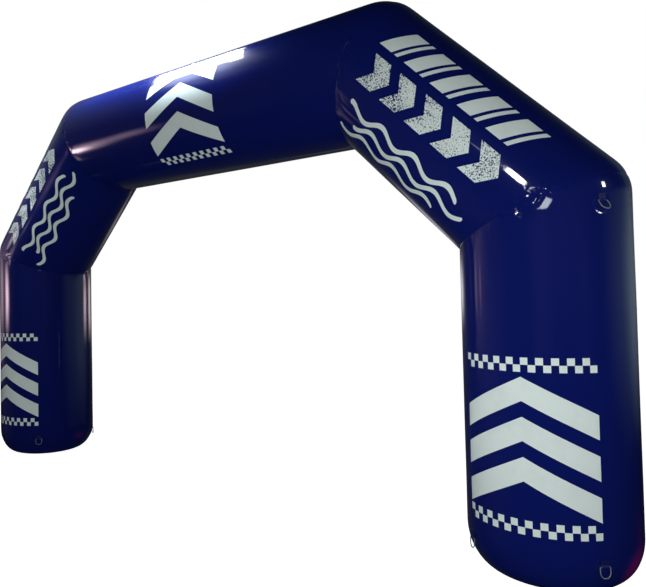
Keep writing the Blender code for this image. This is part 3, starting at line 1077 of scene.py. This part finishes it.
# %% Soft boxes
WHITE, IVORY = (1.0, 1.0, 1.0), (1.0, 1.0, 0.98)
MIST, ICE, COOL = (0.86, 0.93, 1.0), (0.92, 0.96, 1.0), (0.80, 0.90, 1.0)
CLOTH, GLOSS, BOTH = (True, False), (False, True), (True, True)  # what a box shines on
SOFT_BOXES = (
    # name, place, aim, width, height, glow, grid, soft, colour, shines_on, and for one its roll
    ("front_fill", (3.5, -4.3, 1.5), (2.3, 0, 1.4), 1.6, 1.6, 11.5, 180, 0, WHITE, CLOTH),
    ("leg_fill_left", (-0.5, -2, 1.2), (2.3, -0.2, 1.3), 1.2, 1.2, 9, 50, 0, WHITE, CLOTH),
    ("leg_fill_right", (5.8, -1.6, 1.4), (2.9, -0.2, 1.4), 1.2, 1.2, 5, 60, 0, WHITE, CLOTH),
    ("left_fill", (-2.8, -4.6, 1.5), (-2.3, 0, 1.5), 1.4, 1.4, 3.6, 90, 0, WHITE, CLOTH),
    ("left_high", (-3.39, -1.42, 3.84), (-2.05, -0.3, 2.5), 0.9, 0.9, 30, 40, 0, WHITE, CLOTH),
    ("back_fill_right", (4.6, 4.4, 2), (2.6, 0, 1.7), 1.8, 1.8, 9.5, 70, 0, WHITE, CLOTH),
    ("back_fill_left", (-4.8, 4.6, 2.2), (-1.6, 0, 2.2), 1.8, 1.8, 8, 120, 0, WHITE, CLOTH),
    ("over_beam", (-0.42, -0.17, 3.88), (-0.42, -0.19, 3.3), 1.15, 0.5, 26, 180, 0.3, ICE, GLOSS),
    ("over_beam_wash", (-0.78, -0.17, 3.86), (-0.78, -0.19, 3.3), 1.5, 0.5, 50, 130, 0.3, COOL, CLOTH),
    ("over_beam_front", (-1, -0.75, 3.95), (-1, -0.45, 3.2), 1, 0.5, 2.6, 180, 0, COOL, CLOTH),
    ("over_beam_close", (0.12, -0.5, 3.66), (0.12, -0.52, 3.2), 0.95, 0.2, 38, 180, 0.4, COOL, CLOTH),
    ("over_beam_halo", (-0.55, -0.5, 4), (-0.55, -0.52, 3.2), 1.3, 0.6, 2.2, 180, 0.6, MIST, GLOSS),
    ("over_beam_halo_low", (-0.6, -0.7, 4), (-0.6, -0.72, 3.2), 1.4, 1.2, 1.2, 180, 0.9, COOL, GLOSS),
    ("over_beam_end", (0.07, -0.28, 3.88), (0.07, -0.3, 3.3), 0.2, 0.36, 46, 180, 0.5, ICE, BOTH),
    ("front_high", (2.76, -4.76, 4.68), (2.3, -0.3, 2.2), 0.74, 0.34, 110, 180, 0.5, IVORY, GLOSS, 45),
    ("front_high_tail", (2.26, -4.76, 4.82), (2.3, -0.3, 2.2), 0.9, 0.12, 6, 180, 0.8, (0.8, 0.86, 1), GLOSS),
    ("front_middle", (3.5, -5.01, 3.85), (2.69, -0.43, 2.01), 0.5, 0.5, 13, 180, 1, MIST, GLOSS),
    ("right_high", (6.5, 0.55, 3.25), (2.9, -0.3, 2.1), 0.42, 0.5, 30, 180, 0.3, IVORY, GLOSS),
    ("left_panel", (-4.3, -1.7, 1.6), (-2.52, -0.46, 1.6), 1.05, 1.2, 11, 50, 1, (1, 0.68, 0.78), GLOSS),
    ("left_panel_side", (-4.3, -0.7, 1.62), (-2.56, -0.44, 1.6), 1.1, 1.2, 0.8, 50, 0.8,
     (1, 0.72, 0.8), GLOSS),
    ("left_corner", (-4.3, -1.35, 2.42), (-2.4, -0.46, 2.16), 0.9, 0.5, 3, 36, 1, (1, 0.8, 0.88), GLOSS),
    ("beam_bar", (-4.05, -2.4, 2.42), (-1.55, -0.84, 2.99), 1.3, 1.25, 7.8, 24, 1, (1, 0.66, 0.8), GLOSS),
    ("beam_bar_end", (-4.25, -2.4, 2.3), (-2.03, -0.79, 3.52), 0.65, 0.65, 42, 48, 1, (1, 0.78, 0.86), GLOSS),
    ("beam_bar_far", (-3.05, -2.4, 2.55), (-0.7, -0.4, 2.9), 1.6, 0.85, 2, 38, 1, (1, 0.68, 0.86), GLOSS),
    ("behind_near", (-1.68, 3, 1.47), (-2.13, 0.2, 1.47), 1.2, 1.3, 5.5, 50, 1, (1, 0.72, 0.76), GLOSS),
    ("behind_far", (-3.1, 3, 1.47), (-2.25, 0.3, 1.37), 1.5, 1.3, 2.3, 46, 0.8, (1, 0.84, 0.82), GLOSS),
    ("behind_right_leg", (-0.3, 2.3, 1.55), (2.17, -0.28, 1), 2.4, 1, 1.8, 60, 1, (0.97, 0.92, 1), GLOSS),
    ("behind_low", (-3.5, 3, 1.2), (-0.6, 0, 2.6), 4.5, 2.4, 0.05, 60, 1, (1, 1, 0.72), GLOSS),
)


def soft_front(name, lamp, soft):
    """Dims a lamp towards its edge, over a share of its half-width, as an S-shaped curve."""
    front = Recipe(name, lamp)
    share = 1.0
    for place in front.parts(front.add("NewGeometry", output="Parametric"), 2):
        edge = ((1.0 - abs(2.0 * place - 1.0)) / soft).lowest(1.0)
        share = edge * edge * (3.0 - 2.0 * edge) * share
    front.feed(front.tree.nodes["Emission"].inputs["Strength"], share)


def placed(axes, place):
    """A matrix from three axes, as columns, and a place."""
    matrix = np.eye(4)
    matrix[:3, :3], matrix[:3, 3] = axes, place
    return Matrix(matrix)


def soft_box(name, place, aim, width, height, glow, grid, soft, colour, shines_on, roll=0):
    """A rectangular lamp, turned by its roll, whose grid limits how wide it shines, both in degrees.

    The glow is what a mirror straight in front of its middle would show, and gives the power.
    """
    half_grid = radians(grid) / 2
    lamp = bpy.data.lights.new(name, "AREA")
    lamp.shape = "RECTANGLE"
    lamp.size, lamp.size_y = width, height
    lamp.spread = 2 * half_grid
    lamp.energy = glow * pi * width * height * (1.0 - half_grid / tan(half_grid))
    lamp.color = colour
    if soft > 0:
        soft_front(name, lamp, soft)
    box = bpy.data.objects.new(name, lamp)
    scene.collection.objects.link(box)
    towards = np.array(aim, float) - np.array(place, float)
    back = -towards / np.linalg.norm(towards)
    right = np.cross([0, 0, 1], back)
    right /= np.linalg.norm(right)
    up = np.cross(back, right)
    c, s = cos(radians(roll)), sin(radians(roll))
    right, up = right * c + up * s, up * c - right * s
    box.matrix_world = placed(np.stack([right, up, back], 1), place)
    box.visible_camera = False
    box.visible_diffuse, box.visible_glossy = shines_on
    return box


boxes = [soft_box(*row) for row in SOFT_BOXES]
print("soft boxes:", [box.name for box in boxes])

# %% Camera
CAMERA_PLACE = (3.67385, -3.91386, 1.58684)
CAMERA_TURN = (39.01, 1.74, -1.17)  # towards -X from +Y, up, and roll, in degrees
FRAME_WIDTH, FRAME_HEIGHT = 646, 587
FOCAL_PIXELS = 653.1
SENSOR_MM = 36.0
LOOK_AT_PIXEL = (268.4, 271.8)


def camera_axes(turn, tilt, roll):
    """The camera's right, up and backward directions from its three turns."""
    forward = np.array([-sin(turn) * cos(tilt), cos(turn) * cos(tilt), sin(tilt)])
    level = np.array([cos(turn), sin(turn), 0.0])
    upright = np.cross(level, forward)
    right = level * cos(roll) + upright * sin(roll)
    return np.stack([right, upright * cos(roll) - level * sin(roll), -forward], 1)


lens = bpy.data.cameras.new("camera")
lens.sensor_width = SENSOR_MM
lens.lens = FOCAL_PIXELS * SENSOR_MM / FRAME_WIDTH
lens.shift_x = (FRAME_WIDTH / 2 - LOOK_AT_PIXEL[0]) / FRAME_WIDTH
lens.shift_y = (LOOK_AT_PIXEL[1] - FRAME_HEIGHT / 2) / FRAME_WIDTH
lens.dof.use_dof = False
camera = bpy.data.objects.new("camera", lens)
scene.collection.objects.link(camera)
camera.matrix_world = placed(camera_axes(*np.radians(CAMERA_TURN)), CAMERA_PLACE)
scene.camera = camera
scene.view_settings.view_transform = "Standard"
print("camera at", CAMERA_PLACE, "with a lens of, mm:", round(lens.lens, 1))
